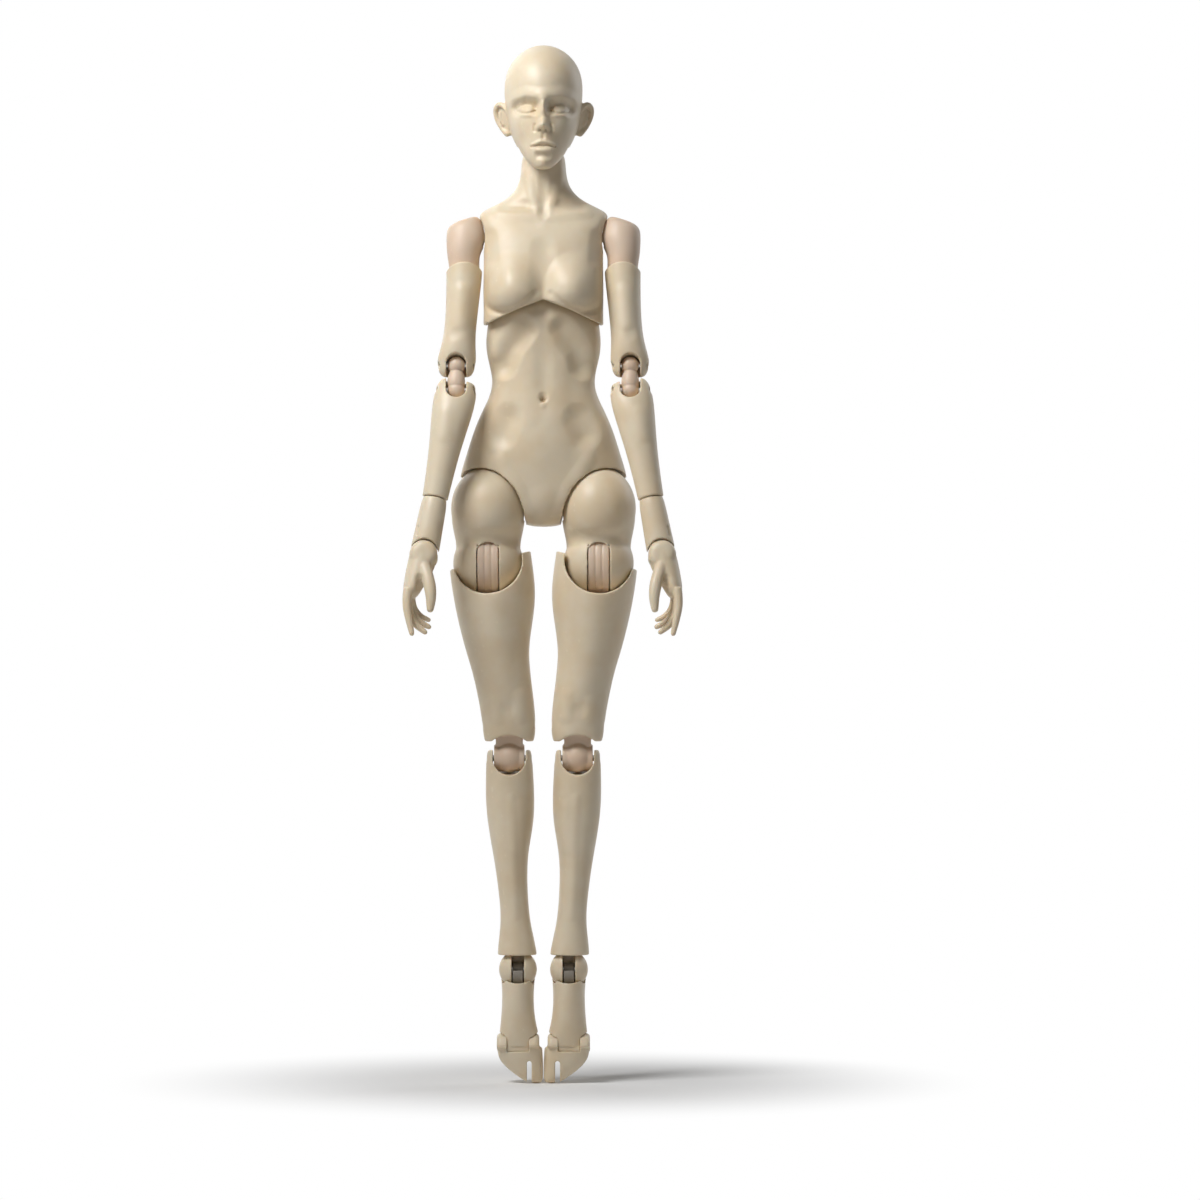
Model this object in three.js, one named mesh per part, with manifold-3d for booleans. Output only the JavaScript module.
// A ball-jointed doll body of about one-sixth scale, standing with its feet pointed, in millimetres.
// +Z is up, the front faces -Y, and the origin is the saddle point between the legs.
import * as THREE from "three";
import { mergeVertices } from "three/addons/utils/BufferGeometryUtils.js";
import Module from "manifold-3d";

const wasm = await Module();
wasm.setup();

// Gaps between pieces that move against each other
const PIN_GAP = 0.3;
const CUP_GAP = 0.5;
const FORK_GAP = 0.35;
const SEAM_GAP = 0.35;

// Torso: heights above the origin, and the dome on which the chest rocks
const WAIST_PIN_Z = 60;
const WAIST_PIN_Y = -0.3;
const WAIST_PIN_RADIUS = 1.2;
const WAIST_PIN_LENGTH = 18;
const DOME_RADIUS = 9.7;
const DOME_HALF_WIDTH = 16;
const DOME_GAP = 1.1;
const WAIST_LINK_WIDTH = 5;
const WAIST_LINK_EYE = 3.2;
const WAIST_PEG_RADIUS = 2.2;
const WAIST_PEG_LENGTH = 19;
const WAIST_SLOT_SWAY = 6;
const RIM_MIDDLE_Z = 65.5;
const RIM_SIDE_Z = 56.8;
const RIM_HALF_WIDTH = 17;
const CHEST_BOTTOM_Z = 54;
const CHEST_POWER = 2.8;
const NECK_TOP_Z = 108.3;
const NECK_Y = 1.8;

// Head
const HEAD_BALL_Z = 112.6;
const HEAD_BALL_RADIUS = 4.6;
const NECK_POST_RADIUS = 2;
const NECK_POST_LENGTH = 16;
const HEAD_PIN_RADIUS = 0.8;
const HEAD_PIN_LENGTH = 15;
const CHIN_Z = 103;
const JAW_HEIGHT = 11;
const SKULL_BOTTOM_Z = 107.2;
const SKULL_HEIGHT = 32.6;
const NECK_HOLLOW_HALF_WIDTH = 7.4;
const NECK_HOLLOW_HALF_DEPTH = 9.2;
const HEAD_CAP_Y = 6.2;
const NOSE_Z = 115.6;
const EYE_Z = 120.4;
const EYE_X = 5;
const BROW_Z = 123.4;
const EAR_Z = 119.2;
const EAR_Y = 2.6;
const EAR_X = 11.4;

// Arm: the shoulder centre, and lengths down the arm
const SHOULDER_X = 22.9;
const SHOULDER_Y = 0.5;
const SHOULDER_Z = 84;
const ARM_FORWARD = THREE.MathUtils.degToRad(12);
const SHOULDER_BALL_RADIUS = 6.6;
const SHOULDER_CAP_DEPTH = 5.5;
const SHOULDER_SHAFT_RADIUS = 1.5;
const SHOULDER_SHAFT_LENGTH = 14;
const SHOULDER_EYE_RADIUS = 2.5;
const SHOULDER_EYE_WIDTH = 3;
const SHOULDER_PIN_RADIUS = 0.8;
const SHOULDER_PIN_LENGTH = 8.4;
const SLEEVE_TOP = 8.6;
const SLEEVE_ARCH_RADIUS = 8.5;
const CAP_NECK_RADIUS = 4.4;
const CAP_NECK_TAPER = 4;
const CAP_PEG_RADIUS = 3.3;
const CAP_PEG_LENGTH = 18;
const UPPER_ARM_LENGTH = 38.3;
const ELBOW_OUT = 2.2;
const ELBOW_SPAN = 7.4;
const ELBOW_END_RADIUS = 3.3;
const ELBOW_BALL_RADIUS = 2.55;
const ELBOW_NECK_RADIUS = 1.7;
const ELBOW_SLOT_BACK = 2.6;
const ELBOW_PIN_RADIUS = 0.75;
const ELBOW_PIN_LENGTH = 9.4;
const CARRY_ANGLE = THREE.MathUtils.degToRad(10.5);
const FOREARM_LENGTH = 32.4;
const CUFF_LENGTH = 17.2;
const CUFF_PEG_RADIUS = 2;
const CUFF_PEG_LENGTH = 8;
const WRIST_EAR_RADIUS = 4.1;
const WRIST_EAR_DEPTH = 8.8;
const WRIST_TONGUE_RADIUS = 3.3;
const WRIST_TONGUE_WIDTH = 4.2;
const WRIST_TRUNNION_RADIUS = 1;
const WRIST_TRUNNION_LENGTH = 7.4;
const PALM_LENGTH = 13;

// Leg: the hip centre, and lengths down the leg
const HIP_X = 16;
const HIP_Y = -0.5;
const HIP_Z = 5.4;
const HIP_RADIUS = 12.3;
const HIP_HALF_WIDTH = 10.8;
const HIP_SIDE_GAP = 1.1;
const HIP_SHAFT_RADIUS = 1.6;
const HIP_SHAFT_INNER_X = 0.5;
const HIP_EYE_RADIUS = 3;
const HIP_EYE_WIDTH = 3.8;
const HIP_PIN_RADIUS = 1;
const HIP_PIN_LENGTH = 14;
const HIP_SLOT_RISE = 8;
const CROTCH_HALF_WIDTH = 4.4;
const CROTCH_OPENING_Z = 6.2;
const LEG_OPENING_Z = 10;
const HIP_TO_THIGH = 15.9;
const THIGH_BALL_RADIUS = 10.2;
const THIGH_TAB_RADIUS = 9.7;
const THIGH_TAB_WIDTH = 6;
const THIGH_SLOT_TOP = 7.2;
const THIGH_PIN_RADIUS = 1.2;
const THIGH_PIN_LENGTH = 16.4;
const THIGH_PEG_RADIUS = 2.8;
const THIGH_PEG_LENGTH = 26;
const THIGH_LENGTH = 47;
const THIGH_HALF_WIDTH = 12.1;
const THIGH_RIM_SLOPE = THREE.MathUtils.degToRad(13);
const THIGH_RIM_HEIGHT = 1.8;
const THIGH_RIM_DIP = 8.8;
const THIGH_RIM_DIP_WIDTH = 19.6;
const THIGH_RIM_DIP_BACK = -2;
const KNEE_IN = 6.1;
const KNEE_ARCH_RADIUS = 9;
const KNEE_ARCH_RISE = 2.4;
const KNEE_SPAN = 9.5;
const KNEE_BALL_RADIUS = 3.9;
const KNEE_LINK_WIDTH = 8.8;
const KNEE_NECK_DEPTH = 4.6;
const KNEE_PIN_RADIUS = 0.9;
const KNEE_PIN_LENGTH = 12.6;
const THIGH_END = 4.6;
const SHIN_END = 2.4;
const SHIN_LENGTH = 61.2;
const ANKLE_IN = 8.6;
const ANKLE_BALL_RADIUS = 5.5;
const ANKLE_SLOT_TOP = 4.4;
const ANKLE_TAB_WIDTH = 2.9;
const ANKLE_TAB_RADIUS = 5.1;
const ANKLE_TAB_SHOULDER = 1.4;
const ANKLE_TAB_STEM_RADIUS = 1.3;
const ANKLE_TAB_STEM_LENGTH = 10;
const ANKLE_EYE_RADIUS = 2;
const ANKLE_PIN_RADIUS = 0.75;
const ANKLE_PIN_LENGTH = 8;
const ANKLE_PEG_RADIUS = 2;
const ANKLE_PEG_LENGTH = 14;
const SHIN_RIM = 4.2;
const FOOT_LEAN = THREE.MathUtils.degToRad(15);
const FOOT_COLLAR_RADIUS = 4.2;
const FOOT_COLLAR_TOP = 0.5;
const SOLE_Y = 8.6;
const TOE_HINGE = 22.4;
const TOE_HINGE_Y = 4.9;
const TOE_KNUCKLE_RADIUS = 3.2;
const TOE_TONGUE_WIDTH = 6.4;
const TOE_TRUNNION_RADIUS = 0.8;
const TOE_TRUNNION_LENGTH = 9.4;
const TOE_WIDTH = 13;
const TOE_LENGTH = 12;
const TOE_SPLIT_X = -3.3;
const TOE_SPLIT_WIDTH = 1.3;
const TOE_SPLIT_LENGTH = 7;

// Face counts round curved pieces
const BODY_SIDES = 16;
const LIMB_SIDES = 12;
const BALL_SIDES = 12;
const ARC_SIDES = 20;
const PIN_SIDES = 8;
const FINGER_SIDES = 5;

// Length of a cut that goes right through any limb
const THROUGH = 40;

// Finishes
const SHELL = { color: 0xd8cbb8, roughness: 0.5, metalness: 0 };
const JOINT = { color: 0xd2b7a6, roughness: 0.5, metalness: 0 };
const TAB = { color: 0x4a4540, roughness: 0.6, metalness: 0 };
const STEEL = { color: 0xb4b2ae, roughness: 0.35, metalness: 1 };

// Makes a closed geometry, turned if need be, a solid that can be joined and cut
function solid(geometry, turn = new THREE.Matrix4()) {
  const bare = geometry.clone().applyMatrix4(turn);
  bare.deleteAttribute("normal");
  bare.deleteAttribute("uv");
  const merged = mergeVertices(bare);
  const corners = merged.index.array;
  const kept = [];
  for (let i = 0; i < corners.length; i += 3) {
    const [a, b, c] = [corners[i], corners[i + 1], corners[i + 2]];
    if (a !== b && b !== c && c !== a) kept.push(a, b, c);
  }
  return new wasm.Manifold(new wasm.Mesh({
    numProp: 3,
    vertProperties: Float32Array.from(merged.attributes.position.array),
    triVerts: Uint32Array.from(kept),
  }));
}

// A named mesh of a solid
function piece(name, body, finish) {
  const { vertProperties, triVerts } = body.getMesh();
  const geometry = new THREE.BufferGeometry();
  geometry.setAttribute("position", new THREE.BufferAttribute(vertProperties, 3));
  geometry.setIndex(new THREE.BufferAttribute(triVerts, 1));
  const mesh = new THREE.Mesh(geometry, new THREE.MeshStandardMaterial(finish));
  mesh.name = name;
  return mesh;
}

function ball(radius, [x, y, z], sides = BALL_SIDES, turn = undefined) {
  const bare = new THREE.SphereGeometry(radius, sides, sides / 2).rotateX(Math.PI / 2);
  return solid(bare.translate(x, y, z), turn);
}

function ellipsoid([rx, ry, rz], [x, y, z], sides = BALL_SIDES) {
  const sphere = new THREE.SphereGeometry(1, sides, sides / 2).rotateZ(Math.PI / 2);
  return solid(sphere.scale(rx, ry, rz).translate(x, y, z));
}

function block([sx, sy, sz], [x, y, z], turn = undefined) {
  return solid(new THREE.BoxGeometry(sx, sy, sz).translate(x, y, z), turn);
}

// A round bar centred on a point, along the x, y or z axis
function bar(radius, length, axis, [x, y, z], sides = PIN_SIDES, turn = undefined) {
  const bare = new THREE.CylinderGeometry(radius, radius, length, sides);
  if (axis === "x") bare.rotateZ(Math.PI / 2);
  if (axis === "z") bare.rotateX(Math.PI / 2);
  return solid(bare.translate(x, y, z), turn);
}

// A bar along z from one height to another
function post(radius, from, to, [x, y], sides = PIN_SIDES) {
  return bar(radius, Math.abs(to - from), "z", [x, y, (from + to) / 2], sides);
}

// A body of revolution about the z axis through [radius, height] points
function turned(outline, [x, y, z], sides = LIMB_SIDES) {
  const points = outline.map(([radius, height]) => new THREE.Vector2(radius, height));
  return solid(new THREE.LatheGeometry(points, sides).rotateX(Math.PI / 2).translate(x, y, z));
}

// A plate with an outline in x and z, running from one y to another
function plate(outline, fromY, toY) {
  const shape = new THREE.Shape(outline.map(([x, z]) => new THREE.Vector2(x, z)));
  const bare = new THREE.ExtrudeGeometry(shape, { depth: toY - fromY, bevelEnabled: false });
  return solid(bare.rotateX(Math.PI / 2).translate(0, toY, 0));
}

// Joins rings of points into a closed skin with flat ends
function skin(rings) {
  const sides = rings[0].length;
  const points = rings.flat();
  const faces = [];
  for (let ring = 0; ring < rings.length - 1; ring += 1) {
    for (let side = 0; side < sides; side += 1) {
      const next = (side + 1) % sides;
      const [a, b] = [ring * sides + side, ring * sides + next];
      faces.push(a, b, b + sides, a, b + sides, a + sides);
    }
  }
  const last = (rings.length - 1) * sides;
  for (let side = 1; side < sides - 1; side += 1) {
    faces.push(0, side + 1, side, last, last + side, last + side + 1);
  }
  const geometry = new THREE.BufferGeometry().setFromPoints(points);
  geometry.setIndex(faces);
  return geometry;
}

// A skin through level sections from the lowest up, each [z, x, y, half width, front depth, back depth]
// and, where it is squarer than an oval, the power of its curve
function loft(sections, sides = LIMB_SIDES) {
  const rings = sections.map(([z, x, y, half, front, back, power = 2]) => {
    const squared = (share) => Math.sign(share) * Math.abs(share) ** (2 / power);
    const ring = [];
    for (let side = 0; side < sides; side += 1) {
      const angle = (2 * Math.PI * side) / sides;
      const depth = Math.sin(angle) < 0 ? front : back;
      ring.push(new THREE.Vector3(
        x + half * squared(Math.cos(angle)), y + depth * squared(Math.sin(angle)), z,
      ));
    }
    return ring;
  });
  return skin(rings);
}

// Pushes a skin round a point, fading out with distance
function swell(geometry, [x, y, z], reach, [px, py, pz]) {
  const centre = new THREE.Vector3(x, y, z);
  const push = new THREE.Vector3(px, py, pz);
  const places = geometry.attributes.position;
  const point = new THREE.Vector3();
  for (let i = 0; i < places.count; i += 1) {
    point.fromBufferAttribute(places, i);
    const near = Math.max(0, 1 - point.distanceToSquared(centre) / (reach * reach));
    point.addScaledVector(push, near * near);
    places.setXYZ(i, point.x, point.y, point.z);
  }
  return geometry;
}

// A round strand along a smooth path, with a radius at each of its points and a rounded tip
function strand(path, radii) {
  const curve = new THREE.CatmullRomCurve3(path.map((at) => new THREE.Vector3(...at)));
  const steps = 2 * (path.length - 1);
  const frames = curve.computeFrenetFrames(steps);
  const tip = [[0, 1], [0.55, 0.8], [0.9, 0.4]];
  const ringAt = (step, centre, radius) => {
    const ring = [];
    for (let side = 0; side < FINGER_SIDES; side += 1) {
      const angle = (2 * Math.PI * side) / FINGER_SIDES;
      ring.push(centre.clone()
        .addScaledVector(frames.normals[step], radius * Math.cos(angle))
        .addScaledVector(frames.binormals[step], radius * Math.sin(angle)));
    }
    return ring;
  };
  const rings = [];
  for (let step = 0; step < steps; step += 1) {
    const share = step / 2;
    const low = Math.floor(share);
    const radius = THREE.MathUtils.lerp(radii[low], radii[low + 1], share - low);
    rings.push(ringAt(step, curve.getPoint(step / steps), radius));
  }
  const end = radii[radii.length - 1];
  for (const [along, width] of tip) {
    const centre = curve.getPoint(1).addScaledVector(frames.tangents[steps], end * along);
    rings.push(ringAt(steps, centre, end * width));
  }
  return solid(skin(rings));
}

function join(bodies) {
  return bodies.reduce((whole, body) => whole.add(body));
}

function cut(body, tools) {
  return tools.reduce((left, tool) => left.subtract(tool), body);
}

// Abdomen and hips in one shell, with the waist dome on top
function pelvis() {
  const sections = [
    [0, 0, 0, 3.2, 3.5, 6],
    [1.2, 0, 0, 6.5, 5.5, 10],
    [4, 0, 0, 14, 7.5, 13],
    [8, 0, 0, 21.5, 8.8, 14.5],
    [12, 0, 0, 24.8, 9.6, 14.4],
    [16.5, 0, 0, 23.8, 10, 13.3],
    [22, 0, 0, 22, 10.1, 11.5],
    [28, 0, 0, 20.2, 10, 9.4],
    [33.9, 0, 0, 17.6, 9.8, 7.8],
    [38, 0, 0, 15.4, 9.5, 7.2],
    [42.6, 0, 0, 14.5, 9.1, 7.2],
    [48, 0, 0, 16, 9.2, 8],
    [53, 0, 0, 16.9, 9.6, 8.9],
  ];
  for (const rise of [0, 0.36, 0.66, 0.88, 0.98]) {
    const spread = Math.sqrt(1 - rise * rise);
    const depth = DOME_RADIUS * spread;
    sections.push([
      WAIST_PIN_Z + DOME_RADIUS * rise, 0, WAIST_PIN_Y, DOME_HALF_WIDTH * spread, depth, depth,
    ]);
  }
  const shell = solid(loft(sections, BODY_SIDES));
  const tools = [
    block(
      [WAIST_LINK_WIDTH + 2 * FORK_GAP, 2 * WAIST_SLOT_SWAY, DOME_RADIUS + 1 + WAIST_LINK_EYE],
      [0, WAIST_PIN_Y, WAIST_PIN_Z + (DOME_RADIUS + 1 - WAIST_LINK_EYE - FORK_GAP) / 2],
    ),
    bar(WAIST_PIN_RADIUS + PIN_GAP, WAIST_PIN_LENGTH + PIN_GAP, "x", [0, WAIST_PIN_Y, WAIST_PIN_Z]),
  ];
  for (const side of [-1, 1]) {
    const hip = [side * HIP_X, HIP_Y, HIP_Z];
    const radius = HIP_RADIUS + CUP_GAP;
    tools.push(ellipsoid([HIP_HALF_WIDTH + HIP_SIDE_GAP, radius, radius], hip, BODY_SIDES));
    const width = 2 * HIP_X;
    for (const [near, top] of [[CROTCH_HALF_WIDTH, CROTCH_OPENING_Z], [HIP_X, LEG_OPENING_Z]]) {
      tools.push(block(
        [width, 4 * HIP_RADIUS, top + HIP_RADIUS],
        [side * (near + width / 2), HIP_Y, (top - HIP_RADIUS) / 2],
      ));
    }
    const inner = HIP_SHAFT_INNER_X - PIN_GAP;
    tools.push(bar(
      HIP_SHAFT_RADIUS + PIN_GAP, HIP_X - inner, "x", [side * (HIP_X + inner) / 2, HIP_Y, HIP_Z],
    ));
  }
  return cut(shell, tools);
}

// Link that rocks on the waist pin and lets the chest turn on its peg
function waistLink() {
  const pin = [0, WAIST_PIN_Y, WAIST_PIN_Z];
  const eye = bar(WAIST_LINK_EYE, WAIST_LINK_WIDTH, "x", pin, LIMB_SIDES);
  const peg = post(WAIST_PEG_RADIUS, WAIST_PIN_Z, WAIST_PIN_Z + WAIST_PEG_LENGTH, [0, WAIST_PIN_Y]);
  return cut(join([eye, peg]), [bar(WAIST_PIN_RADIUS + PIN_GAP, 2 * WAIST_LINK_WIDTH, "x", pin)]);
}

// Rib cage and neck in one shell, open below over the waist dome
function chest() {
  const bare = loft([
    [CHEST_BOTTOM_Z, 0, 0, 17.4, 11.4, 10.8, CHEST_POWER],
    [58, 0, 0, 17.4, 11.6, 11, CHEST_POWER],
    [62, 0, 0, 17.3, 12, 11.2, CHEST_POWER],
    [66, 0, 0, 17.3, 12.4, 11.4, CHEST_POWER],
    [70, 0, 0, 17.3, 12.4, 11.4, CHEST_POWER],
    [74, 0, 0, 17.3, 11.6, 11.3, CHEST_POWER],
    [78, 0, 0, 17.3, 10.5, 11, CHEST_POWER],
    [83, 0, 0, 17.3, 9.2, 10.4, CHEST_POWER],
    [88, 0, 0.3, 17.5, 7.6, 9, CHEST_POWER],
    [90.5, 0, 0.6, 18.3, 6.6, 7.8, 2.4],
    [92.2, 0, 1, 16, 6, 7],
    [94.8, 0, 1.4, 10.9, 6, 6.6],
    [97.7, 0, NECK_Y, 8.1, 6, 6.3],
    [100.5, 0, NECK_Y, 7, 6, 6.2],
    [104, 0, NECK_Y, 6.8, 6, 6.2],
    [NECK_TOP_Z, 0, NECK_Y, 6.6, 5.8, 6],
  ], BODY_SIDES);
  for (const side of [-1, 1]) swell(bare, [side * 9.1, -12, 69], 9, [0, -3, 0]);
  const hollow = [];
  for (const rise of [-0.7, 0, 0.36, 0.66, 0.88, 0.98]) {
    const spread = Math.sqrt(1 - Math.max(0, rise) ** 2);
    const depth = (DOME_RADIUS + DOME_GAP) * spread;
    const width = (DOME_HALF_WIDTH + DOME_GAP) * spread;
    hollow.push([WAIST_PIN_Z + (DOME_RADIUS + DOME_GAP) * rise, 0, WAIST_PIN_Y, width, depth, depth]);
  }
  const wide = 2 * DOME_HALF_WIDTH;
  const rim = [[1, 0], [0.86, 0.28], [0.44, 0.67], [0, 1], [-0.44, 0.67], [-0.86, 0.28], [-1, 0]];
  const arch = rim.map(([out, up]) => [
    RIM_HALF_WIDTH * out, THREE.MathUtils.lerp(RIM_SIDE_Z, RIM_MIDDLE_Z, up),
  ]);
  const below = CHEST_BOTTOM_Z - SEAM_GAP;
  const under = plate([
    [-wide, below], [wide, below], [wide, RIM_SIDE_Z], ...arch, [-wide, RIM_SIDE_Z],
  ], -wide, wide);
  const pegTop = WAIST_PIN_Z + WAIST_PEG_LENGTH + PIN_GAP;
  const tools = [
    solid(loft(hollow, BODY_SIDES)),
    under,
    post(WAIST_PEG_RADIUS + PIN_GAP, WAIST_PIN_Z, pegTop, [0, WAIST_PIN_Y]),
    post(NECK_POST_RADIUS + PIN_GAP, HEAD_BALL_Z - NECK_POST_LENGTH - PIN_GAP, HEAD_BALL_Z, [0, NECK_Y]),
  ];
  for (const side of [-1, 1]) {
    const shoulder = [side * SHOULDER_X, SHOULDER_Y, SHOULDER_Z];
    tools.push(ball(SHOULDER_BALL_RADIUS + CUP_GAP, shoulder));
    const inner = SHOULDER_X - SHOULDER_SHAFT_LENGTH - PIN_GAP;
    tools.push(bar(SHOULDER_SHAFT_RADIUS + PIN_GAP, SHOULDER_X - inner, "x",
      [side * (SHOULDER_X + inner) / 2, SHOULDER_Y, SHOULDER_Z]));
  }
  return cut(solid(bare), tools);
}

// Ball on a post, turning in the neck
function neckBall() {
  const centre = [0, NECK_Y, HEAD_BALL_Z];
  const stem = post(NECK_POST_RADIUS, HEAD_BALL_Z - NECK_POST_LENGTH, HEAD_BALL_Z, [0, NECK_Y]);
  const pinHole = bar(HEAD_PIN_RADIUS + PIN_GAP, 3 * HEAD_BALL_RADIUS, "x", centre);
  return cut(join([ball(HEAD_BALL_RADIUS, centre, LIMB_SIDES), stem]), [pinHole]);
}

// Whole head with ears, before it is parted into face and cap
function headForm() {
  const up = (share) => SKULL_BOTTOM_Z + SKULL_HEIGHT * share;
  const skull = loft([
    [up(0), 0, 1.6, 5.8, 8.6, 9.4],
    [up(0.06), 0, 1.6, 7.2, 12, 11.6],
    [up(0.15), 0, 1.6, 8.8, 14, 13],
    [up(0.28), 0, 1.6, 10.1, 14.6, 14],
    [up(0.42), 0, 1.6, 10.8, 14.4, 14.6],
    [up(0.56), 0, 1.6, 11.3, 14.6, 14.8],
    [up(0.69), 0, 1.6, 11.2, 14.4, 14.4],
    [up(0.8), 0, 1.6, 10.1, 13, 13.1],
    [up(0.9), 0, 1.6, 7.9, 10.2, 10.4],
    [up(0.97), 0, 1.6, 4.6, 6, 6.2],
    [up(1), 0, 1.6, 1.4, 2, 2],
  ], BODY_SIDES);
  for (const side of [-1, 1]) swell(skull, [side * EYE_X, -13, EYE_Z], 4.2, [0, 1.1, 0]);
  swell(skull, [0, -13.4, BROW_Z], 5, [0, -0.6, 0]);
  const rise = (share) => CHIN_Z + JAW_HEIGHT * share;
  const jaw = loft([
    [rise(0), 0, -9.6, 1.8, 2.2, 2.4],
    [rise(0.11), 0, -8.8, 3.4, 3.6, 3.4],
    [rise(0.31), 0, -7.6, 5.4, 5.2, 3.2],
    [rise(0.55), 0, -6.4, 7.1, 6.6, 3],
    [rise(1), 0, -5, 8.8, 7.8, 3],
  ], LIMB_SIDES);
  const nose = loft([
    [NOSE_Z - 1, 0, -12.4, 1.9, 2, 2],
    [NOSE_Z, 0, -12.4, 1.8, 3.2, 2],
    [NOSE_Z + 2.4, 0, -12.4, 1.1, 1.9, 2],
    [NOSE_Z + 6, 0, -12, 0.7, 0.7, 2],
  ], PIN_SIDES);
  const bodies = [solid(skull), solid(jaw), solid(nose)];
  for (const side of [-1, 1]) {
    bodies.push(ellipsoid([1.7, 2.9, 5.3], [side * EAR_X, EAR_Y, EAR_Z]));
  }
  const ballHole = ball(HEAD_BALL_RADIUS + CUP_GAP, [0, NECK_Y, HEAD_BALL_Z], LIMB_SIDES);
  const [halfWidth, halfDepth] = [NECK_HOLLOW_HALF_WIDTH, NECK_HOLLOW_HALF_DEPTH];
  const neckHollow = solid(loft([
    [CHIN_Z - 1, 0, NECK_Y, halfWidth, halfDepth, halfDepth + 4],
    [NECK_TOP_Z + 1.6, 0, NECK_Y, halfWidth, halfDepth - 0.6, halfDepth],
  ], LIMB_SIDES));
  const pinHole = bar(HEAD_PIN_RADIUS + PIN_GAP, HEAD_PIN_LENGTH + PIN_GAP, "x", [0, NECK_Y, HEAD_BALL_Z]);
  return cut(join(bodies), [ballHole, neckHollow, pinHole]);
}

// The head parted behind the ears into the face piece or the cap
function headPart(isCap) {
  const size = 4 * SKULL_HEIGHT;
  const middle = SKULL_BOTTOM_Z + SKULL_HEIGHT / 2;
  const away = isCap ? HEAD_CAP_Y + SEAM_GAP / 2 - size / 2 : HEAD_CAP_Y - SEAM_GAP / 2 + size / 2;
  return cut(headForm(), [block([size, size, size], [0, away, middle])]);
}

// Swivel that turns in the chest and holds the shoulder pin, given about the shoulder centre
function shoulderSwivel() {
  const eye = bar(SHOULDER_EYE_RADIUS, SHOULDER_EYE_WIDTH, "y", [0, 0, 0], LIMB_SIDES);
  const shaft = bar(
    SHOULDER_SHAFT_RADIUS, SHOULDER_SHAFT_LENGTH, "x", [-SHOULDER_SHAFT_LENGTH / 2, 0, 0], LIMB_SIDES,
  );
  const pinHole = bar(SHOULDER_PIN_RADIUS + PIN_GAP, 2 * SHOULDER_EYE_WIDTH, "y", [0, 0, 0]);
  return cut(join([eye, shaft]), [pinHole]);
}

// The peg under the shoulder cap, or with a gap the hollow that takes it
function capPeg(gap) {
  const bottom = -CAP_PEG_LENGTH - gap;
  return turned([
    [0, bottom], [CAP_PEG_RADIUS + gap, bottom], [CAP_PEG_RADIUS + gap, -SLEEVE_TOP - CAP_NECK_TAPER],
    [CAP_NECK_RADIUS + gap, -SLEEVE_TOP], [CAP_NECK_RADIUS + gap, 0], [0, 0],
  ], [0, 0, 0]);
}

// Shoulder cap, rounded to the socket's centre inside, and slotted inside and above for the swivel
function shoulderCap() {
  const inner = SHOULDER_BALL_RADIUS;
  const depth = SHOULDER_CAP_DEPTH;
  const section = (z, inwards, outwards, deep) => [
    z, (outwards - inwards) / 2, 0, (outwards + inwards) / 2, deep, deep,
  ];
  const flesh = loft([
    section(-SLEEVE_TOP + SEAM_GAP, CAP_NECK_RADIUS, CAP_NECK_RADIUS, CAP_NECK_RADIUS),
    section(-0.83 * inner, 0.73 * inner, 0.76 * inner, depth - 0.3),
    section(-0.38 * inner, 0.88 * inner, 0.79 * inner, depth),
    section(0, 0.97 * inner, 0.8 * inner, depth),
    section(0.36 * inner, 0.91 * inner, 0.74 * inner, depth - 0.5),
    section(0.64 * inner, 0.75 * inner, 0.5 * inner, depth - 1.4),
    section(0.82 * inner, 0.55 * inner, 0.2 * inner, depth - 2.7),
  ]);
  const slot = SHOULDER_EYE_RADIUS + FORK_GAP;
  const reach = 2 * SHOULDER_BALL_RADIUS;
  const quarter = block(
    [reach, SHOULDER_EYE_WIDTH + 2 * FORK_GAP, reach], [slot - reach / 2, 0, reach / 2 - slot],
  );
  const pinHole = bar(SHOULDER_PIN_RADIUS + PIN_GAP, SHOULDER_PIN_LENGTH + PIN_GAP, "y", [0, 0, 0]);
  return cut(join([solid(flesh), capPeg(0)]), [quarter, pinHole]);
}

// Tool for the elbow slots: an arch as wide as the link's ball, open towards one end of the limb
function elbowSlot([x, z], towards, turn = undefined) {
  const half = ELBOW_BALL_RADIUS + FORK_GAP;
  const front = 3 * ELBOW_BALL_RADIUS;
  const depth = front + ELBOW_SLOT_BACK;
  const middle = (ELBOW_SLOT_BACK - front) / 2;
  const arch = bar(half, depth, "y", [x, middle, z], LIMB_SIDES, turn);
  const mouth = block(
    [2 * half, depth, ELBOW_SPAN], [x, middle, z + (towards * ELBOW_SPAN) / 2], turn,
  );
  const pocket = ball(half, [x, 0, z], LIMB_SIDES, turn);
  return join([arch, mouth, pocket]);
}

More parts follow.
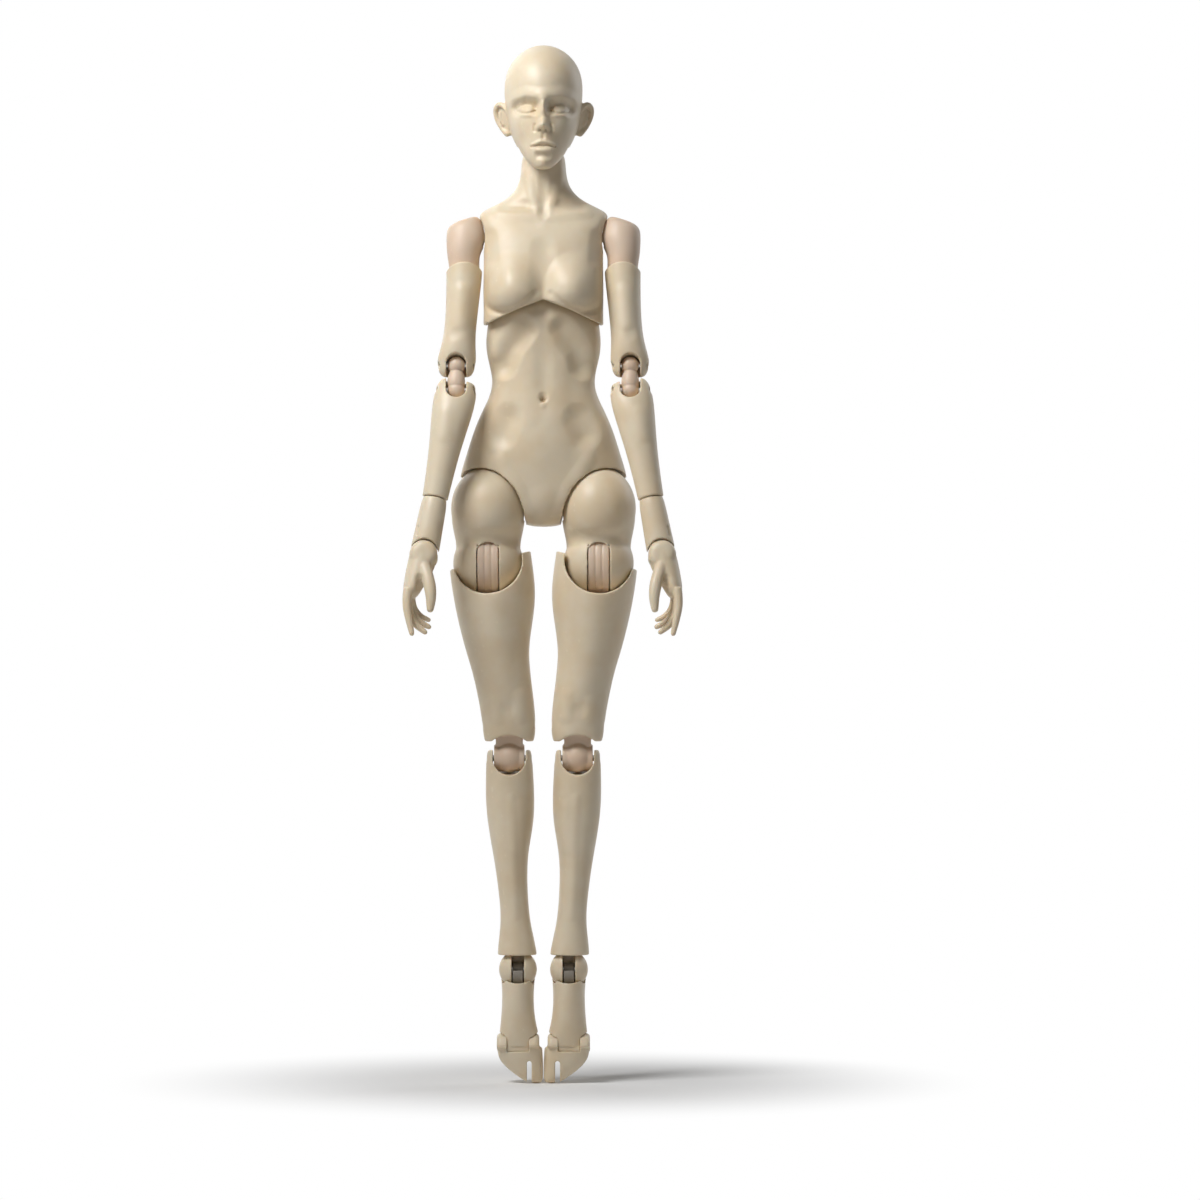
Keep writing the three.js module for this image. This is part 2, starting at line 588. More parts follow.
// Upper arm sleeve from the shoulder seam to the upper elbow pin
function upperArm() {
  const pinZ = -UPPER_ARM_LENGTH;
  const end = ELBOW_END_RADIUS;
  const down = (share) => -SLEEVE_TOP + (pinZ + SLEEVE_TOP) * share;
  const tube = loft([
    [pinZ - end, ELBOW_OUT, 0, 3.6, 0.8, 3],
    [pinZ - 0.8 * end, ELBOW_OUT, 0, 4.5, 0.6 * end, 3.8],
    [pinZ - 0.45 * end, ELBOW_OUT, 0, 5.1, 0.88 * end, 4.2],
    [pinZ, ELBOW_OUT, 0, 5.5, end, 4.4],
    [down(0.93), 0.94 * ELBOW_OUT, 0, 5.6, 3.9, 4.4],
    [down(0.84), 0.8 * ELBOW_OUT, 0, 5.1, 4.6, 4.6],
    [down(0.68), 0.55 * ELBOW_OUT, 0, 4.5, 4.8, 4.9],
    [down(0.4), 0.25 * ELBOW_OUT, 0, 4.7, 5.1, 5.2],
    [down(0.16), 0.06 * ELBOW_OUT, 0, 5.1, 5.3, 5.4],
    [down(-0.02), 0, 0, 5.2, 5.4, 5.5],
  ]);
  const archZ = -SLEEVE_TOP - SLEEVE_ARCH_RADIUS;
  const archTop = bar(SLEEVE_ARCH_RADIUS, THROUGH, "y", [0, 0, archZ], ARC_SIDES);
  const below = block([THROUGH, THROUGH, 2 * UPPER_ARM_LENGTH], [0, 0, archZ - UPPER_ARM_LENGTH]);
  const pin = [ELBOW_OUT, 0, pinZ];
  return cut(solid(tube).intersect(archTop.add(below)), [
    capPeg(SEAM_GAP),
    elbowSlot([ELBOW_OUT, pinZ], -1),
    bar(ELBOW_PIN_RADIUS + PIN_GAP, 3 * ELBOW_PIN_LENGTH, "x", pin),
  ]);
}

// Link with a ball at each end, hung on the two elbow pins
function elbowLink() {
  const upper = [ELBOW_OUT, 0, -UPPER_ARM_LENGTH];
  const lower = [ELBOW_OUT, 0, -UPPER_ARM_LENGTH - ELBOW_SPAN];
  const neck = post(ELBOW_NECK_RADIUS, upper[2], lower[2], [ELBOW_OUT, 0]);
  const balls = [upper, lower].map((at) => ball(ELBOW_BALL_RADIUS, at, LIMB_SIDES));
  const holes = [upper, lower].map((at) => bar(ELBOW_PIN_RADIUS + PIN_GAP, 3 * ELBOW_BALL_RADIUS, "x", at));
  return cut(join([neck, ...balls]), holes);
}

// The forearm's parts are given about the lower elbow pin, with -Z down the forearm

// Turn from the upper arm's directions into the forearm's
const UNCARRIED = new THREE.Matrix4().makeRotationY(CARRY_ANGLE);

// Round peg of the cuff, or with a gap the hollow in the forearm that takes it
function cuffPeg(gap) {
  const seam = -FOREARM_LENGTH;
  return post(
    CUFF_PEG_RADIUS + gap, seam - CUFF_PEG_RADIUS, seam + CUFF_PEG_LENGTH + gap, [0, 0], LIMB_SIDES,
  );
}

function forearm() {
  const end = ELBOW_END_RADIUS;
  const down = (share) => -FOREARM_LENGTH * share;
  const tube = loft([
    [down(1), 0, 0, 3.7, 3.7, 3.7],
    [down(0.8), 0, 0, 4, 4, 4],
    [down(0.6), 0, 0, 4.4, 4.5, 4.4],
    [down(0.4), 0, 0, 5.1, 5, 4.8],
    [down(0.2), 0, 0, 5.9, 5, 4.9],
    [down(0.08), 0, 0, 6.1, 4.2, 4.7],
    [0, 0, 0, 5.9, end, 4.5],
    [0.45 * end, 0, 0, 5.5, 0.88 * end, 4.2],
    [0.8 * end, 0, 0, 4.9, 0.6 * end, 3.8],
    [end, 0, 0, 3.9, 0.8, 3],
  ]);
  return cut(solid(tube), [
    elbowSlot([0, 0], 1, UNCARRIED),
    bar(ELBOW_PIN_RADIUS + PIN_GAP, 3 * ELBOW_PIN_LENGTH, "x", [0, 0, 0], PIN_SIDES, UNCARRIED),
    cuffPeg(PIN_GAP),
  ]);
}

// Cuff below the twist seam, with the tongue and trunnions that carry the hand
function wristCuff() {
  const top = -FOREARM_LENGTH - SEAM_GAP;
  const wristZ = -FOREARM_LENGTH - CUFF_LENGTH;
  const tube = loft([
    [wristZ + 2, 0, 0, 4.1, 3.9, 3.9],
    [wristZ + 6, 0, 0, 4, 3.9, 3.9],
    [wristZ + 11, 0, 0, 3.8, 3.8, 3.8],
    [top, 0, 0, 3.7, 3.7, 3.7],
  ]);
  const arch = bar(WRIST_EAR_RADIUS + SEAM_GAP, THROUGH, "y", [0, 0, wristZ], ARC_SIDES);
  const tongue = bar(WRIST_TONGUE_RADIUS, WRIST_TONGUE_WIDTH, "y", [0, 0, wristZ], LIMB_SIDES);
  const stalk = block(
    [WRIST_TONGUE_RADIUS, WRIST_TONGUE_WIDTH, 2 * WRIST_EAR_RADIUS],
    [0, 0, wristZ + WRIST_EAR_RADIUS],
  );
  const trunnion = bar(WRIST_TRUNNION_RADIUS, WRIST_TRUNNION_LENGTH, "y", [0, 0, wristZ]);
  return join([cut(solid(tube), [arch]), tongue, stalk, trunnion, cuffPeg(0)]);
}

// Relaxed hand about the wrist pin: the palm faces the thigh and the thumb is in front
function hand() {
  const palmEnd = -PALM_LENGTH;
  const palm = loft([
    [palmEnd, 1.6, 0, 1.7, 4.3, 4.1],
    [palmEnd + 2.5, 1.5, 0, 2.6, 4.7, 4.6],
    [palmEnd + 6, 0.9, 0, 3.1, 4.7, 4.5],
    [-4, 0.3, 0, 3.6, 4.6, 4.4],
    [0, 0, 0, WRIST_EAR_RADIUS, 4.5, 4.4],
  ]);
  const ears = bar(WRIST_EAR_RADIUS, WRIST_EAR_DEPTH, "y", [0, 0, 0], ARC_SIDES);
  const root = palmEnd + 2;
  const index = strand(
    [[2.3, -3.4, root], [2.2, -3.7, root - 4], [0.6, -3.8, root - 8.5], [-1.2, -3.9, root - 12.8]],
    [1.3, 1.25, 1.1, 0.9],
  );
  const middle = strand(
    [[2.2, -1.2, root], [1.9, -1.2, root - 5], [-1.2, -1.2, root - 9.4], [-4.6, -1.2, root - 11.2]],
    [1.3, 1.25, 1.1, 0.9],
  );
  const ring = strand(
    [[2.1, 1.1, root], [1.5, 1.1, root - 4.4], [-1.8, 1.2, root - 8], [-5.2, 1.3, root - 9]],
    [1.3, 1.2, 1.1, 0.9],
  );
  const little = strand(
    [[1.7, 3.2, root], [0.9, 3.3, root - 3.4], [-1.8, 3.4, root - 6], [-4.6, 3.4, root - 6.6]],
    [1.2, 1.1, 1, 0.8],
  );
  const thumb = strand(
    [[-0.8, -3, -3.5], [-3.2, -4.7, -8], [-4.7, -5.2, -12.4], [-5.1, -5, -16]],
    [1.7, 1.9, 1.6, 1.2],
  );
  const fork = WRIST_TONGUE_WIDTH + 2 * FORK_GAP;
  const tools = [
    bar(WRIST_TONGUE_RADIUS + FORK_GAP, fork, "y", [0, 0, 0], LIMB_SIDES),
    block([THROUGH, fork, 2 * WRIST_EAR_RADIUS], [0, 0, WRIST_EAR_RADIUS]),
    bar(WRIST_TRUNNION_RADIUS + PIN_GAP, WRIST_TRUNNION_LENGTH + PIN_GAP, "y", [0, 0, 0]),
  ];
  return cut(join([solid(palm), ears, index, middle, ring, little, thumb]), tools);
}

// The leg's parts are given about the hip centre, with x pointing outwards

// Axle that turns in the pelvis and holds the hip pin
function hipAxle() {
  const eye = bar(HIP_EYE_RADIUS, HIP_EYE_WIDTH, "y", [0, 0, 0], LIMB_SIDES);
  const length = HIP_X - HIP_SHAFT_INNER_X;
  const shaft = bar(HIP_SHAFT_RADIUS, length, "x", [-length / 2, 0, 0], LIMB_SIDES);
  const pinHole = bar(HIP_PIN_RADIUS + PIN_GAP, 2 * HIP_EYE_WIDTH, "y", [0, 0, 0]);
  return cut(join([eye, shaft]), [pinHole]);
}

// Hip dome and the lower ball in one piece, slotted for the axle and for the thigh tab
function upperThigh() {
  const ballZ = -HIP_TO_THIGH;
  const dome = ellipsoid([HIP_HALF_WIDTH, HIP_RADIUS, HIP_RADIUS], [0, 0, 0], BODY_SIDES);
  const waist = solid(loft([
    [ballZ, 0, 0.3, 9.2, 9.2, 9.2],
    [0.6 * ballZ, 0, 0.2, 9.4, 8.9, 9.2],
    [0.4 * ballZ, 0, 0.1, 10.4, 10, 10.2],
    [0, 0, 0, 10.6, 10.8, 10.8],
  ], BODY_SIDES));
  const lower = ball(THIGH_BALL_RADIUS, [0, 0, ballZ], BODY_SIDES);
  const eye = HIP_EYE_RADIUS + FORK_GAP;
  const inside = HIP_HALF_WIDTH + HIP_SIDE_GAP;
  const axleSlot = block(
    [inside + eye, HIP_EYE_WIDTH + 2 * FORK_GAP, HIP_SLOT_RISE + eye],
    [(eye - inside) / 2, 0, (HIP_SLOT_RISE - eye) / 2],
  );
  const half = THIGH_TAB_WIDTH / 2 + FORK_GAP;
  const front = 2 * THIGH_BALL_RADIUS;
  const archZ = ballZ + THIGH_SLOT_TOP - half;
  const tools = [
    axleSlot,
    bar(HIP_PIN_RADIUS + PIN_GAP, HIP_PIN_LENGTH + PIN_GAP, "y", [0, 0, 0]),
    bar(THIGH_BALL_RADIUS + PIN_GAP, 2 * half, "x", [0, 0, ballZ], ARC_SIDES),
    bar(half, front, "y", [0, -front / 2, archZ], LIMB_SIDES),
    block([2 * half, front, 2 * THIGH_BALL_RADIUS], [0, -front / 2, archZ - THIGH_BALL_RADIUS]),
    bar(THIGH_PIN_RADIUS + PIN_GAP, THIGH_PIN_LENGTH + PIN_GAP, "x", [0, 0, ballZ]),
  ];
  return cut(join([dome, waist, lower]), tools);
}

// Round tab that rocks in the lower ball, with the peg on which the thigh twists
function thighTab() {
  const ballZ = -HIP_TO_THIGH;
  const disc = bar(THIGH_TAB_RADIUS, THIGH_TAB_WIDTH, "x", [0, 0, ballZ], ARC_SIDES);
  const peg = post(THIGH_PEG_RADIUS, ballZ, ballZ - THIGH_PEG_LENGTH, [0, 0], LIMB_SIDES);
  const pinHole = bar(THIGH_PIN_RADIUS + PIN_GAP, 2 * THIGH_TAB_WIDTH, "x", [0, 0, ballZ]);
  return cut(join([disc, peg]), [pinHole]);
}

// Thigh shell from its cupped rim to the upper knee pin
function thigh() {
  const ballZ = -HIP_TO_THIGH;
  const pinZ = ballZ - THIGH_LENGTH;
  const rimPeak = ballZ + THIGH_RIM_HEIGHT + 1.1 * THIGH_HALF_WIDTH * Math.tan(THIGH_RIM_SLOPE);
  const down = (share) => ballZ - THIGH_LENGTH * share;
  const kneeX = -KNEE_IN;
  const tube = loft([
    [pinZ - THIGH_END, kneeX, 0, 6.9, 6, 2.4],
    [pinZ - 0.7 * THIGH_END, kneeX, 0, 7.4, 6.6, 3.5],
    [pinZ - 0.3 * THIGH_END, kneeX, 0, 7.6, 6.9, 4.6],
    [down(0.99), -6, 0, 7.7, 7, 5.2],
    [down(0.9), -5.6, 0, 7.9, 7.3, 6.4],
    [down(0.78), -4.7, 0, 8.1, 7.8, 7.3],
    [down(0.66), -3.7, 0, 8.4, 8.6, 8.1],
    [down(0.54), -2.6, 0, 9.1, 9.5, 9],
    [down(0.42), -2.2, 0, 10.2, 10.4, 10],
    [down(0.29), -2, 0, 11.4, 11.3, 11.1],
    [down(0.16), -1.6, 0, THIGH_HALF_WIDTH, 11.9, 11.9],
    [down(0.02), -0.8, 0, THIGH_HALF_WIDTH, 11.9, 12],
    [rimPeak, -0.3, 0, THIGH_HALF_WIDTH - 0.2, 11.5, 11.6],
  ], LIMB_SIDES);
  const rim = new THREE.Matrix4().makeTranslation(0, 0, ballZ + THIGH_RIM_HEIGHT)
    .multiply(new THREE.Matrix4().makeRotationY(THIGH_RIM_SLOPE));
  const above = block([2 * THROUGH, THROUGH, THROUGH], [0, 0, THROUGH / 2], rim);
  const dip = new THREE.CylinderGeometry(1, 1, THROUGH, ARC_SIDES);
  dip.scale(THIGH_RIM_DIP_WIDTH / 2, 1, THIGH_RIM_DIP).translate(0, THIGH_RIM_DIP_BACK - THROUGH / 2, 0);
  const half = KNEE_LINK_WIDTH / 2 + FORK_GAP;
  const slotFront = -KNEE_BALL_RADIUS - FORK_GAP;
  const archZ = pinZ - THIGH_END - KNEE_ARCH_RADIUS + KNEE_ARCH_RISE;
  const tools = [
    above,
    solid(dip, rim),
    ball(THIGH_BALL_RADIUS + CUP_GAP, [0, 0, ballZ], BODY_SIDES),
    post(THIGH_BALL_RADIUS + CUP_GAP, ballZ, rimPeak, [0, 0], BODY_SIDES),
    post(THIGH_PEG_RADIUS + PIN_GAP, ballZ, ballZ - THIGH_PEG_LENGTH - PIN_GAP, [0, 0], LIMB_SIDES),
    bar(KNEE_BALL_RADIUS + FORK_GAP, 2 * half, "x", [kneeX, 0, pinZ], LIMB_SIDES),
    block([2 * half, THROUGH, 2 * THIGH_END], [kneeX, slotFront + THROUGH / 2, pinZ - THIGH_END]),
    block([2 * half, THROUGH, 2 * KNEE_NECK_DEPTH], [kneeX, THROUGH / 2, pinZ]),
    bar(KNEE_ARCH_RADIUS, THROUGH, "y", [kneeX, 0, archZ], ARC_SIDES),
    bar(KNEE_PIN_RADIUS + PIN_GAP, 2 * KNEE_PIN_LENGTH, "x", [kneeX, 0, pinZ]),
  ];
  return cut(solid(tube), tools);
}

// Link with a barrel at each end, hung on the two knee pins, rounded in front as a kneecap
function kneeLink() {
  const upper = [-KNEE_IN, 0, -HIP_TO_THIGH - THIGH_LENGTH];
  const lower = [-KNEE_IN, 0, upper[2] - KNEE_SPAN];
  const barrel = (at) => bar(KNEE_BALL_RADIUS, KNEE_LINK_WIDTH, "x", at, LIMB_SIDES);
  const neck = block(
    [KNEE_LINK_WIDTH - 1, KNEE_NECK_DEPTH, KNEE_SPAN], [-KNEE_IN, 0, (upper[2] + lower[2]) / 2],
  );
  const cap = ellipsoid([KNEE_LINK_WIDTH / 2, 4.6, 4.4], [-KNEE_IN, -0.4, lower[2] + 0.2], LIMB_SIDES);
  const holes = [upper, lower].map((at) => bar(KNEE_PIN_RADIUS + PIN_GAP, 3 * KNEE_LINK_WIDTH, "x", at));
  return cut(join([barrel(upper), barrel(lower), neck, cap]), holes);
}

// Shin shell from the lower knee pin to the rim round the ankle ball
function shin() {
  const pinZ = -HIP_TO_THIGH - THIGH_LENGTH - KNEE_SPAN;
  const ankleZ = pinZ - SHIN_LENGTH;
  const down = (share) => pinZ + (ankleZ + SHIN_RIM - pinZ) * share;
  const kneeX = -KNEE_IN;
  const tube = loft([
    [down(1), -8.4, 0.3, 5.7, 5.5, 5.5],
    [down(0.93), -8.2, 0.3, 5.2, 5.1, 5.2],
    [down(0.83), -7.9, 0.3, 4.2, 4.4, 4.7],
    [down(0.72), -7.4, 0.3, 4.1, 4.5, 5],
    [down(0.57), -6.7, 0.3, 4.5, 5, 6.3],
    [down(0.46), -6.4, 0.2, 5.3, 5.4, 7.4],
    [down(0.33), -6.5, 0.1, 6.7, 5.8, 8.3],
    [down(0.21), -6.3, 0, 7.1, 6, 8.2],
    [down(0.1), -6.2, 0, 6.9, 6.2, 6.8],
    [down(0.01), kneeX, 0, 6.7, 6.2, 4.8],
    [pinZ + 0.5 * SHIN_END, kneeX, 0, 6.5, 5.9, 3.9],
    [pinZ + SHIN_END, kneeX, 0, 6.1, 5, 2],
  ]);
  const half = KNEE_LINK_WIDTH / 2 + FORK_GAP;
  const ankle = [-ANKLE_IN, 0, ankleZ];
  const tools = [
    bar(KNEE_BALL_RADIUS + FORK_GAP, 2 * half, "x", [kneeX, 0, pinZ], LIMB_SIDES),
    block([2 * half, THROUGH, 2 * SHIN_END], [kneeX, 0, pinZ + SHIN_END]),
    bar(half, THROUGH / 2, "y", [kneeX, -THROUGH / 4, pinZ], LIMB_SIDES),
    block([2 * half, THROUGH / 2, 2 * KNEE_BALL_RADIUS], [kneeX, THROUGH / 4, pinZ]),
    bar(KNEE_PIN_RADIUS + PIN_GAP, 2 * KNEE_PIN_LENGTH, "x", [kneeX, 0, pinZ]),
    ball(ANKLE_BALL_RADIUS + CUP_GAP, ankle, LIMB_SIDES),
    post(ANKLE_PEG_RADIUS + PIN_GAP, ankleZ, ankleZ + ANKLE_PEG_LENGTH + PIN_GAP, [-ANKLE_IN, 0]),
  ];
  return cut(solid(tube), tools);
}

// The ankle's and foot's parts are given about the ankle centre

// Ball with a front slot for the foot's tab, turning in the shin on its peg
function ankleBall() {
  const peg = post(ANKLE_PEG_RADIUS, 0, ANKLE_PEG_LENGTH, [0, 0]);
  const back = ANKLE_EYE_RADIUS + FORK_GAP;
  const front = 2 * ANKLE_BALL_RADIUS;
  const slot = block(
    [ANKLE_TAB_WIDTH + 2 * FORK_GAP, front + back, front + ANKLE_SLOT_TOP],
    [0, (back - front) / 2, (ANKLE_SLOT_TOP - front) / 2],
  );
  const pinHole = bar(ANKLE_PIN_RADIUS + PIN_GAP, ANKLE_PIN_LENGTH + PIN_GAP, "x", [0, 0, 0]);
  return cut(join([ball(ANKLE_BALL_RADIUS, [0, 0, 0]), peg]), [slot, pinHole]);
}

// Tab in the ankle slot, fixed in the foot by its stem; -Z runs along the foot
function ankleTab() {
  const eye = bar(ANKLE_EYE_RADIUS, ANKLE_TAB_WIDTH, "x", [0, 0, 0], LIMB_SIDES);
  const disc = bar(ANKLE_TAB_RADIUS, ANKLE_TAB_WIDTH, "x", [0, 0, 0], ARC_SIDES);
  const size = 4 * ANKLE_TAB_RADIUS;
  const kept = disc.intersect(block(
    [size, size, size], [0, ANKLE_EYE_RADIUS - size / 2, -ANKLE_TAB_SHOULDER - size / 2],
  ));
  const stem = block(
    [ANKLE_TAB_WIDTH, 2 * ANKLE_TAB_STEM_RADIUS, ANKLE_TAB_STEM_LENGTH],
    [0, 0, -ANKLE_TAB_STEM_LENGTH / 2],
  );
  return cut(join([eye, kept, stem]), [
    bar(ANKLE_PIN_RADIUS + PIN_GAP, 2 * ANKLE_TAB_WIDTH, "x", [0, 0, 0]),
  ]);
}

// Foot from the heel to the toe hinge, with the sole flat
function foot() {
  const hingeZ = -TOE_HINGE;
  const bare = loft([
    [hingeZ - 2.6, 0, 5, 5.6, 2.4, 3.9],
    [hingeZ, 0, 4.6, 6.5, 3.5, 4.6],
    [-18, 0, 3.4, 5.9, 4.4, 5.8],
    [-13.4, 0, 2.6, 5.2, 5.4, 6.6],
    [-8, 0, 2.2, 4.9, 6.6, 7],
    [-4, 0, 2, 5.3, 7.6, 7.4],
    [-0.5, 0, 2.6, 5.8, 7.6, 6.8],
    [1.8, 0, 4.8, 5, 5.2, 4.6],
    [3.4, 0, 6, 3.8, 3.2, 2.8],
    [4.4, 0, 6.4, 2.4, 1.6, 1.8],
  ]);
  const side = 3 * TOE_TONGUE_WIDTH;
  const collar = 2 * ANKLE_BALL_RADIUS + 2 * CUP_GAP;
  const collarY = CUP_GAP - ANKLE_BALL_RADIUS;
  const toeRoom = 3 * TOE_KNUCKLE_RADIUS;
  const stem = ANKLE_TAB_STEM_LENGTH + PIN_GAP;
  const tabRoom = ANKLE_TAB_RADIUS + 2 * FORK_GAP;
  const tools = [
    block([THROUGH, THROUGH, 2 * THROUGH], [0, SOLE_Y + THROUGH / 2, 0]),
    ball(ANKLE_BALL_RADIUS + CUP_GAP, [0, 0, 0]),
    bar(FOOT_COLLAR_RADIUS, collar, "y", [0, collarY, 0], ARC_SIDES),
    block([2 * FOOT_COLLAR_RADIUS, collar, collar], [0, collarY, collar / 2]),
    block([THROUGH, collar, collar], [0, collarY, FOOT_COLLAR_TOP + collar / 2]),
    block(
      [ANKLE_TAB_WIDTH + 2 * FORK_GAP, 2 * ANKLE_TAB_RADIUS, tabRoom],
      [0, ANKLE_EYE_RADIUS - ANKLE_TAB_RADIUS + FORK_GAP, -tabRoom / 2],
    ),
    block(
      [ANKLE_TAB_WIDTH + 2 * PIN_GAP, 2 * (ANKLE_TAB_STEM_RADIUS + PIN_GAP), stem], [0, 0, -stem / 2],
    ),
  ];
  for (const way of [-1, 1]) {
    const inner = way * (TOE_TONGUE_WIDTH / 2 + side / 2);
    tools.push(bar(TOE_KNUCKLE_RADIUS + FORK_GAP, side, "x", [inner, TOE_HINGE_Y, hingeZ], LIMB_SIDES));
    tools.push(block([side, THROUGH, toeRoom], [inner, TOE_HINGE_Y, hingeZ - toeRoom / 2]));
  }
  tools.push(block([2 * TOE_TONGUE_WIDTH, THROUGH, toeRoom], [0, TOE_HINGE_Y, hingeZ - toeRoom / 2]));
  const trunnion = bar(TOE_TRUNNION_RADIUS, TOE_TRUNNION_LENGTH, "x", [0, TOE_HINGE_Y, hingeZ]);
  const tongue = bar(TOE_KNUCKLE_RADIUS, TOE_TONGUE_WIDTH, "x", [0, TOE_HINGE_Y, hingeZ], LIMB_SIDES);
  return join([cut(solid(bare), tools), tongue, trunnion]);
}

// Toes in one piece with the great toe parted from the rest, hinged on the foot's tongue
function toes() {
  const hingeZ = -TOE_HINGE;
  const tip = hingeZ - TOE_LENGTH;
  const bare = loft([
    [tip, -4.6, 6, 1.6, 0.9, 1],
    [tip + 1.2, -3.7, 5.8, 3, 1.7, 1.8],
    [tip + 3.6, -2, 5.4, 4.7, 2.3, 2.6],
    [tip + 6.6, -0.6, 5.1, 6, 2.7, 3],
    [tip + 9.4, -0.2, 4.9, 6.6, 3, TOE_KNUCKLE_RADIUS],
    [hingeZ, 0, TOE_HINGE_Y, 6.5, TOE_KNUCKLE_RADIUS, TOE_KNUCKLE_RADIUS],
  ]);
  const knuckle = bar(TOE_KNUCKLE_RADIUS, TOE_WIDTH, "x", [0, TOE_HINGE_Y, hingeZ], LIMB_SIDES);
  const fork = TOE_TONGUE_WIDTH + 2 * FORK_GAP;
  const tools = [
    block([THROUGH, THROUGH, 2 * THROUGH], [0, SOLE_Y + THROUGH / 2, 0]),
    bar(TOE_KNUCKLE_RADIUS + FORK_GAP, fork, "x", [0, TOE_HINGE_Y, hingeZ], LIMB_SIDES),
    block([fork, THROUGH, TOE_LENGTH], [0, TOE_HINGE_Y, hingeZ + TOE_LENGTH / 2]),
    bar(TOE_TRUNNION_RADIUS + PIN_GAP, TOE_TRUNNION_LENGTH + PIN_GAP, "x", [0, TOE_HINGE_Y, hingeZ]),
    block([TOE_SPLIT_WIDTH, THROUGH, 2 * TOE_SPLIT_LENGTH], [TOE_SPLIT_X, TOE_HINGE_Y, tip]),
  ];
  return cut(join([solid(bare), knuckle]), tools);
}

// One arm, built as the doll's left and mirrored for its right
function arm(side) {
  const wrist = new THREE.Group();
  wrist.position.set(0, 0, -FOREARM_LENGTH - CUFF_LENGTH);
  wrist.add(piece(`${side}_hand`, hand(), SHELL));

  const lower = new THREE.Group();
  lower.position.set(ELBOW_OUT, 0, -UPPER_ARM_LENGTH - ELBOW_SPAN);
  lower.rotation.y = -CARRY_ANGLE;
  const lowerPin = bar(ELBOW_PIN_RADIUS, ELBOW_PIN_LENGTH, "x", [0, 0, 0], PIN_SIDES, UNCARRIED);
  lower.add(
    piece(`${side}_forearm`, forearm(), SHELL),
    piece(`${side}_elbow_lower_pin`, lowerPin, STEEL),
    piece(`${side}_wrist_cuff`, wristCuff(), SHELL),
    wrist,
  );

  const upperPin = bar(ELBOW_PIN_RADIUS, ELBOW_PIN_LENGTH, "x", [ELBOW_OUT, 0, -UPPER_ARM_LENGTH]);
  const shoulderPin = bar(SHOULDER_PIN_RADIUS, SHOULDER_PIN_LENGTH, "y", [0, 0, 0]);
  const hanging = new THREE.Group();
  hanging.rotation.x = -ARM_FORWARD;
  hanging.add(
    piece(`${side}_shoulder_swivel`, shoulderSwivel(), JOINT),
    piece(`${side}_shoulder_pin`, shoulderPin, STEEL),
    piece(`${side}_shoulder_cap`, shoulderCap(), JOINT),
    piece(`${side}_upper_arm`, upperArm(), SHELL),
    piece(`${side}_elbow_upper_pin`, upperPin, STEEL),
    piece(`${side}_elbow_link`, elbowLink(), JOINT),
    lower,
  );

  const group = new THREE.Group();
  const mirror = side === "left" ? 1 : -1;
  group.scale.x = mirror;
  group.position.set(mirror * SHOULDER_X, SHOULDER_Y, SHOULDER_Z);
  group.add(hanging);
  return group;
}

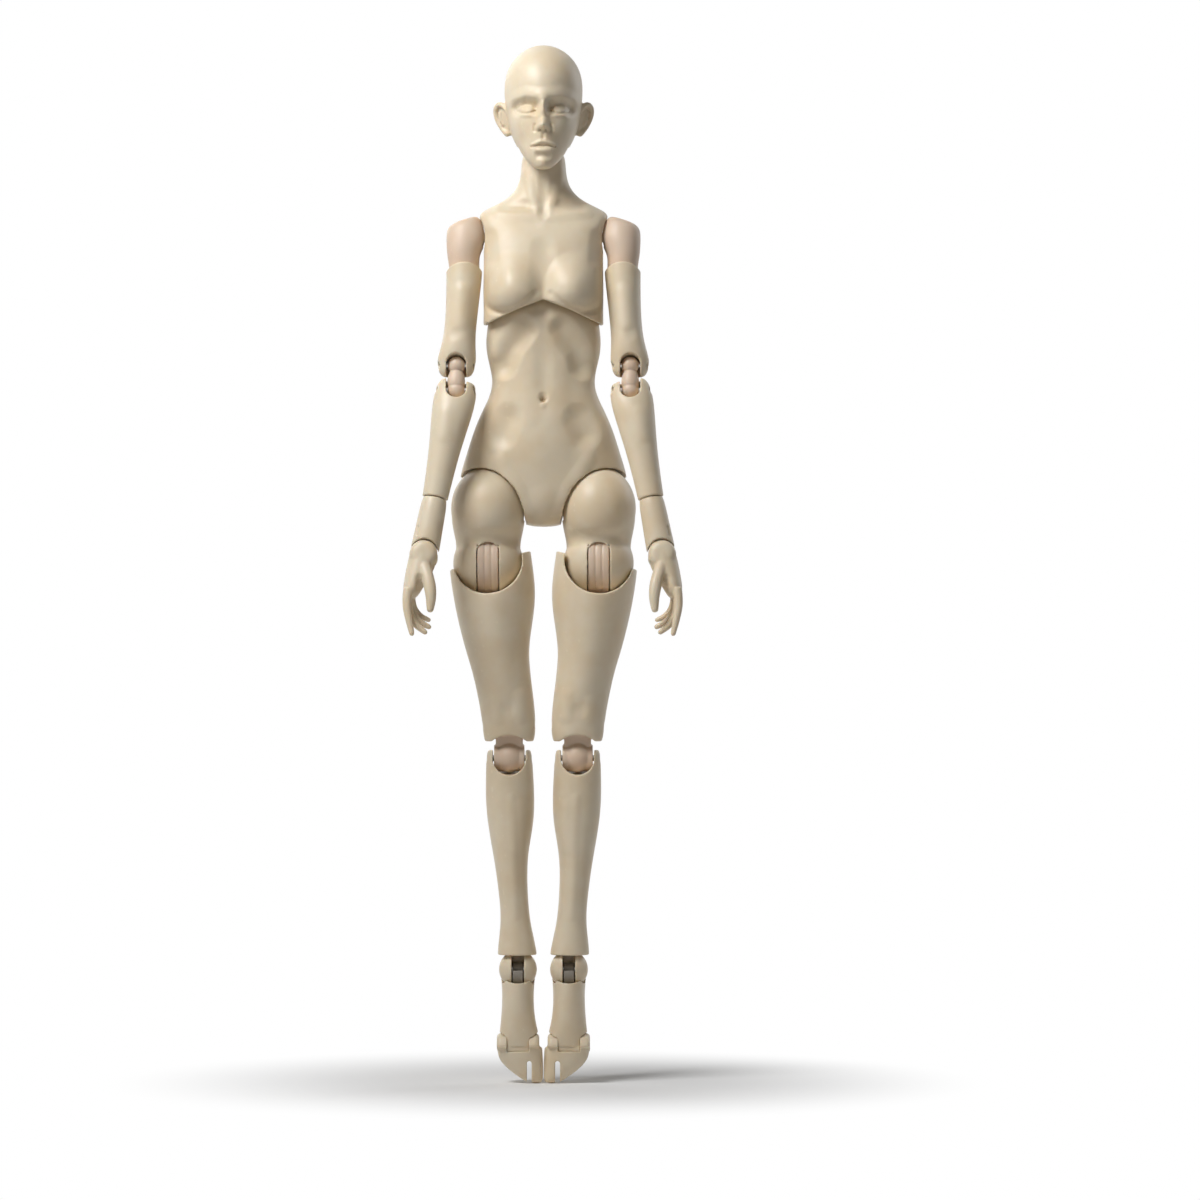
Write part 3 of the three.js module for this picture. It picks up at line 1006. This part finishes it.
// One leg, built as the doll's left and mirrored for its right
function leg(side) {
  const ballZ = -HIP_TO_THIGH;
  const kneeZ = ballZ - THIGH_LENGTH;
  const ankleZ = kneeZ - KNEE_SPAN - SHIN_LENGTH;

  const pointed = new THREE.Group();
  pointed.rotation.x = -FOOT_LEAN;
  pointed.add(
    piece(`${side}_ankle_tab`, ankleTab(), TAB),
    piece(`${side}_foot`, foot(), SHELL),
    piece(`${side}_toes`, toes(), SHELL),
  );
  const ankle = new THREE.Group();
  ankle.position.set(-ANKLE_IN, 0, ankleZ);
  const anklePin = bar(ANKLE_PIN_RADIUS, ANKLE_PIN_LENGTH, "x", [0, 0, 0]);
  ankle.add(
    piece(`${side}_ankle_ball`, ankleBall(), SHELL),
    piece(`${side}_ankle_pin`, anklePin, STEEL),
    pointed,
  );

  const group = new THREE.Group();
  const mirror = side === "left" ? 1 : -1;
  group.scale.x = mirror;
  group.position.set(mirror * HIP_X, HIP_Y, HIP_Z);
  const hipPin = bar(HIP_PIN_RADIUS, HIP_PIN_LENGTH, "y", [0, 0, 0]);
  const thighPin = bar(THIGH_PIN_RADIUS, THIGH_PIN_LENGTH, "x", [0, 0, ballZ]);
  const kneeUpper = bar(KNEE_PIN_RADIUS, KNEE_PIN_LENGTH, "x", [-KNEE_IN, 0, kneeZ]);
  const kneeLower = bar(KNEE_PIN_RADIUS, KNEE_PIN_LENGTH, "x", [-KNEE_IN, 0, kneeZ - KNEE_SPAN]);
  group.add(
    piece(`${side}_hip_axle`, hipAxle(), JOINT),
    piece(`${side}_hip_pin`, hipPin, STEEL),
    piece(`${side}_upper_thigh`, upperThigh(), SHELL),
    piece(`${side}_thigh_pin`, thighPin, STEEL),
    piece(`${side}_thigh_tab`, thighTab(), JOINT),
    piece(`${side}_thigh`, thigh(), SHELL),
    piece(`${side}_knee_upper_pin`, kneeUpper, STEEL),
    piece(`${side}_knee_link`, kneeLink(), JOINT),
    piece(`${side}_knee_lower_pin`, kneeLower, STEEL),
    piece(`${side}_shin`, shin(), SHELL),
    ankle,
  );
  return group;
}

const waistPin = bar(WAIST_PIN_RADIUS, WAIST_PIN_LENGTH, "x", [0, WAIST_PIN_Y, WAIST_PIN_Z]);
const headPin = bar(HEAD_PIN_RADIUS, HEAD_PIN_LENGTH, "x", [0, NECK_Y, HEAD_BALL_Z]);
const doll = new THREE.Group();
doll.add(
  piece("pelvis", pelvis(), SHELL),
  piece("waist_pin", waistPin, STEEL),
  piece("waist_link", waistLink(), JOINT),
  piece("chest", chest(), SHELL),
  piece("neck_ball", neckBall(), JOINT),
  piece("head_pin", headPin, STEEL),
  piece("head_face", headPart(false), SHELL),
  piece("head_cap", headPart(true), SHELL),
);
for (const side of ["left", "right"]) doll.add(arm(side), leg(side));

export default doll;
